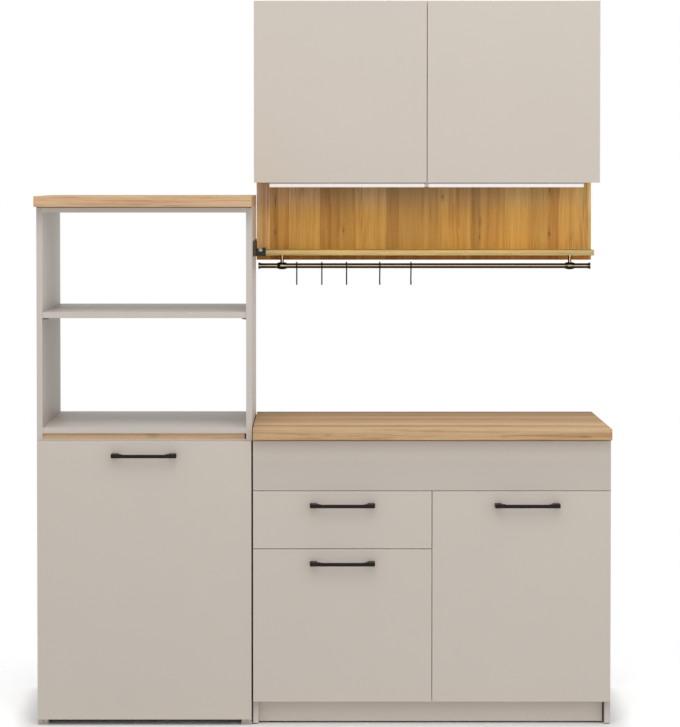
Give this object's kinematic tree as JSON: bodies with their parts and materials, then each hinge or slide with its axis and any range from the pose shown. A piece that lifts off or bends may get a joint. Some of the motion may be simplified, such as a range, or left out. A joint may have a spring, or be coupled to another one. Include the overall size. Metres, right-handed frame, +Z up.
{
  "type": "kitchenette unit",
  "caption": "Kitchenette with a tall shelf cabinet, base unit with worktop, drawer and doors, hung wall unit, lit niche panel with shelf and hook rail.",
  "frame": {"origin": "on the floor, under the middle of the overall box", "axes": "+Z up, front towards -Y, tall unit on the -X side, wall plane at the +Y side"},
  "size_m": [1.606, 0.613, 2.037],
  "materials": {
    "front_laminate": "matt cashmere laminate on chipboard",
    "carcass_laminate": "matt cashmere laminate on chipboard",
    "plinth_board": "matt cashmere laminate on chipboard",
    "oak_board": "oak look laminate with planks",
    "drawer_board": "light grey laminate",
    "thin_sheet": "thin painted fibreboard",
    "plated_steel": "nickel plated pressed steel",
    "black_metal": "satin black coating",
    "light_housing": "satin anodised",
    "foot_plastic": "moulded",
    "light_diffuser": "opal, lit"
  },
  "bodies": {
    "cabinets": {"back_sheets": "thin_sheet", "base_bottom": "carcass_laminate", "base_divider": "carcass_laminate", "base_fascia": "front_laminate", "base_shelf": "carcass_laminate", "base_side_left": "carcass_laminate", "base_side_right": "carcass_laminate", "base_top_rails": "carcass_laminate", "floor_feet": "foot_plastic", "hinge_arms": "plated_steel", "led_diffusers": "light_diffuser", "led_housings": "light_housing", "niche_panel": "oak_board", "niche_shelf": "oak_board", "plinth": "plinth_board", "rail_fittings": "black_metal", "rail_tube": "black_metal", "runner_cabinet_members": "plated_steel", "shelf_bracket": "black_metal", "shelf_pins": "plated_steel", "tall_bottom": "carcass_laminate", "tall_housing_top": "carcass_laminate", "tall_lower_shelf": "carcass_laminate", "tall_middle_shelf": "carcass_laminate", "tall_oak_cover": "oak_board", "tall_oak_top": "oak_board", "tall_side_left": "carcass_laminate", "tall_side_right": "carcass_laminate", "tall_top_panel": "carcass_laminate", "wall_bottom": "carcass_laminate", "wall_hanging_rail": "plated_steel", "wall_shelf": "carcass_laminate", "wall_side_left": "carcass_laminate", "wall_side_right": "carcass_laminate", "wall_top": "carcass_laminate", "worktop": "oak_board"},
    "tall_door_leaf": {"tall_door": "front_laminate", "tall_handle": "black_metal", "tall_hinge_cups": "plated_steel"},
    "base_left_leaf": {"base_door_left": "front_laminate", "base_left_handle": "black_metal", "base_left_hinge_cups": "plated_steel"},
    "base_right_leaf": {"base_door_right": "front_laminate", "base_right_handle": "black_metal", "base_right_hinge_cups": "plated_steel"},
    "drawer_box": {"drawer_front": "front_laminate", "drawer_walls": "drawer_board", "drawer_bottom": "thin_sheet", "drawer_handle": "black_metal", "runner_drawer_members": "plated_steel"},
    "runner_middles": {"runner_middle_members": "plated_steel"},
    "wall_left_leaf": {"wall_door_left": "front_laminate", "wall_left_hinge_cups": "plated_steel"},
    "wall_right_leaf": {"wall_door_right": "front_laminate", "wall_right_hinge_cups": "plated_steel"},
    "swing_hook_1": {"hook_1": "black_metal"},
    "swing_hook_2": {"hook_2": "black_metal"},
    "swing_hook_3": {"hook_3": "black_metal"},
    "swing_hook_4": {"hook_4": "black_metal"},
    "swing_hook_5": {"hook_5": "black_metal"}
  },
  "joints": [
    {"name": "tall_door_swing", "type": "hinge", "parent": "cabinets", "child": "tall_door_leaf", "pos_m": [-0.7935, -0.2715, 0.407], "axis": [0, 0, -1], "range_deg": [0, 105]},
    {"name": "base_left_swing", "type": "hinge", "parent": "cabinets", "child": "base_left_leaf", "pos_m": [-0.1915, -0.2715, 0.282], "axis": [0, 0, -1], "range_deg": [0, 105]},
    {"name": "base_right_swing", "type": "hinge", "parent": "cabinets", "child": "base_right_leaf", "pos_m": [0.7975, -0.2715, 0.362], "axis": [0, 0, 1], "range_deg": [0, 105]},
    {"name": "wall_left_swing", "type": "hinge", "parent": "cabinets", "child": "wall_left_leaf", "pos_m": [-0.194, 0.0065, 1.775], "axis": [0, 0, -1], "range_deg": [0, 105]},
    {"name": "wall_right_swing", "type": "hinge", "parent": "cabinets", "child": "wall_right_leaf", "pos_m": [0.792, 0.0065, 1.775], "axis": [0, 0, 1], "range_deg": [0, 105]},
    {"name": "drawer_slide", "type": "slide", "parent": "cabinets", "child": "drawer_box", "axis": [0, -1, 0], "range_m": [0, 0.4]},
    {"name": "runner_middle_slide", "type": "slide", "parent": "cabinets", "child": "runner_middles", "axis": [0, -1, 0], "range_m": [0, 0.2]},
    {"name": "hook_1_swing", "type": "hinge", "parent": "cabinets", "child": "swing_hook_1", "pos_m": [-0.077, 0.2215, 1.2685], "axis": [1, 0, 0], "range_deg": [-55, 55]},
    {"name": "hook_2_swing", "type": "hinge", "parent": "cabinets", "child": "swing_hook_2", "pos_m": [-0.003, 0.2215, 1.2685], "axis": [1, 0, 0], "range_deg": [-55, 55]},
    {"name": "hook_3_swing", "type": "hinge", "parent": "cabinets", "child": "swing_hook_3", "pos_m": [0.07, 0.2215, 1.2685], "axis": [1, 0, 0], "range_deg": [-55, 55]},
    {"name": "hook_4_swing", "type": "hinge", "parent": "cabinets", "child": "swing_hook_4", "pos_m": [0.168, 0.2215, 1.2685], "axis": [1, 0, 0], "range_deg": [-55, 55]},
    {"name": "hook_5_swing", "type": "hinge", "parent": "cabinets", "child": "swing_hook_5", "pos_m": [0.26, 0.2215, 1.2685], "axis": [1, 0, 0], "range_deg": [-55, 55]}
  ],
  "couplings": [
    {"joint": "runner_middle_slide", "follows": "drawer_slide", "ratio": 0.5}
  ]
}
